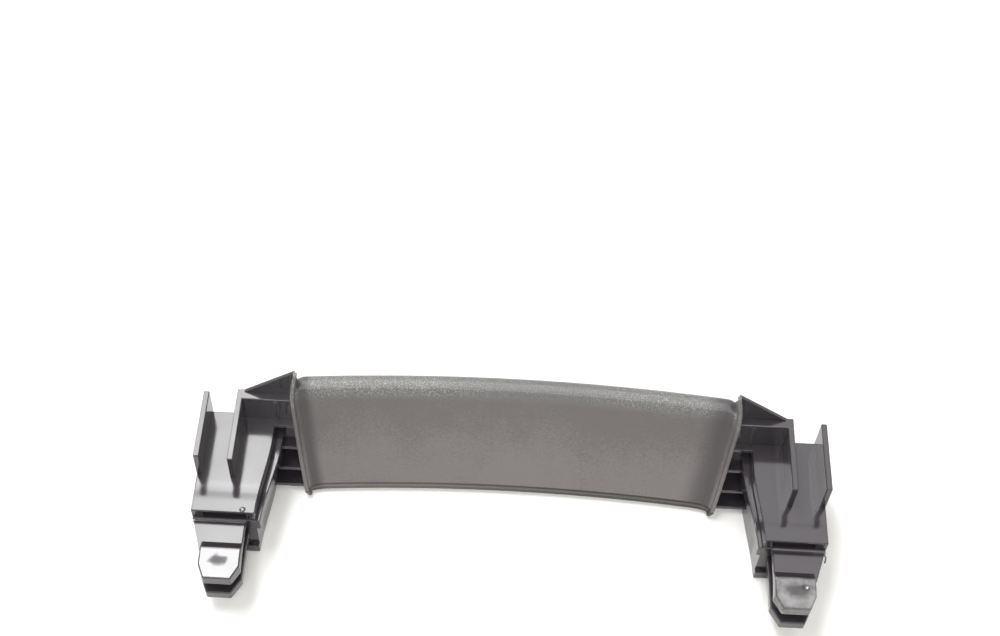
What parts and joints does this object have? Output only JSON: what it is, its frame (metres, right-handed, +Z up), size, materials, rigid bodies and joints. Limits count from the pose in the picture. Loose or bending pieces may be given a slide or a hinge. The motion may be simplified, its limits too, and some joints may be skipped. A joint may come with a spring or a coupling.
{
  "type": "trunk lid handle",
  "caption": "Trunk lid grip handle: an arched, rolled grip band between end walls, with a finned bracket and a snap nose at each end.",
  "frame": {"origin": "centre of the bounding box's base, on the surface that the two towers' feet stand on", "axes": "+X along the grip's length, -Y towards the snap noses and the grip's face, +Z up from the feet to the bracket plates"},
  "size_m": [0.2, 0.0686, 0.051],
  "materials": {
    "black_plastic": "glossy black on the brackets and snap noses, fine matt grain on the grip"
  },
  "bodies": {
    "root": {"handle_moulding": "black_plastic"}
  },
  "joints": []
}
